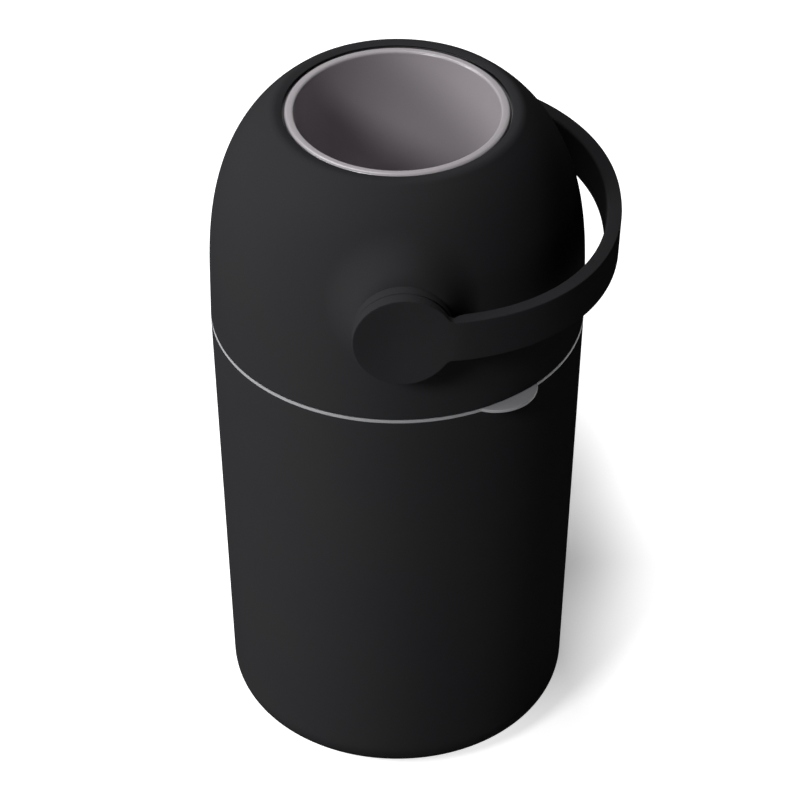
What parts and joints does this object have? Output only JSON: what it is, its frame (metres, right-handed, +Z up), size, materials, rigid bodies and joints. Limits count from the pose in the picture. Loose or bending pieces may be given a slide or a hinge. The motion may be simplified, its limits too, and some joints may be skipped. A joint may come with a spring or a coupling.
{
  "type": "nappy bin",
  "caption": "Round nappy bin: tapered tub, bag ring with a finger tab, domed lid, and a ball with a cup inside the lid that a side handle turns over to empty it.",
  "frame": {"origin": "on the floor, under the upright axis of the tub", "axes": "+Z up; the turning axis of cup and handle lies along Y; the front faces -Y and the handle rests on the +X side"},
  "size_m": [0.3061, 0.3264, 0.5369],
  "materials": {
    "shell_plastic": "soft matt black, finely textured moulding",
    "ring_plastic": "matt light grey moulding",
    "cup_plastic": "smooth matt grey moulding",
    "inner_plastic": "matt dark grey moulding",
    "bearing_plastic": "natural acetal",
    "seal_rubber": "soft dull rubber",
    "screw_steel": "zinc-plated steel"
  },
  "bodies": {
    "base": {"tub": "shell_plastic", "foot_ring": "seal_rubber"},
    "ring": {"bag_ring": "ring_plastic"},
    "lid": {"dome_shell": "shell_plastic", "lid_floor": "inner_plastic", "lid_gasket": "seal_rubber", "upper_seal": "seal_rubber", "lower_seal": "seal_rubber", "lid_screws": "screw_steel", "front_bush": "bearing_plastic", "rear_bush": "bearing_plastic", "thrust_washers": "bearing_plastic"},
    "turning_cup": {"rotor_shell": "inner_plastic", "rotor_base": "inner_plastic", "cup_liner": "cup_plastic", "cup_screws": "screw_steel", "front_axle": "bearing_plastic", "rear_axle": "bearing_plastic", "axle_screws": "screw_steel", "handle": "shell_plastic", "handle_screws": "screw_steel"}
  },
  "joints": [
    {"name": "ring_lift", "type": "slide", "parent": "base", "child": "ring", "axis": [0, 0, 1], "range_m": [0, 0.1]},
    {"name": "lid_lift", "type": "slide", "parent": "ring", "child": "lid", "axis": [0, 0, 1], "range_m": [0, 0.15]},
    {"name": "handle_swing", "type": "hinge", "parent": "lid", "child": "turning_cup", "pos_m": [0, 0, 0.44498], "axis": [0, -1, 0], "range_deg": [0, 180]}
  ]
}
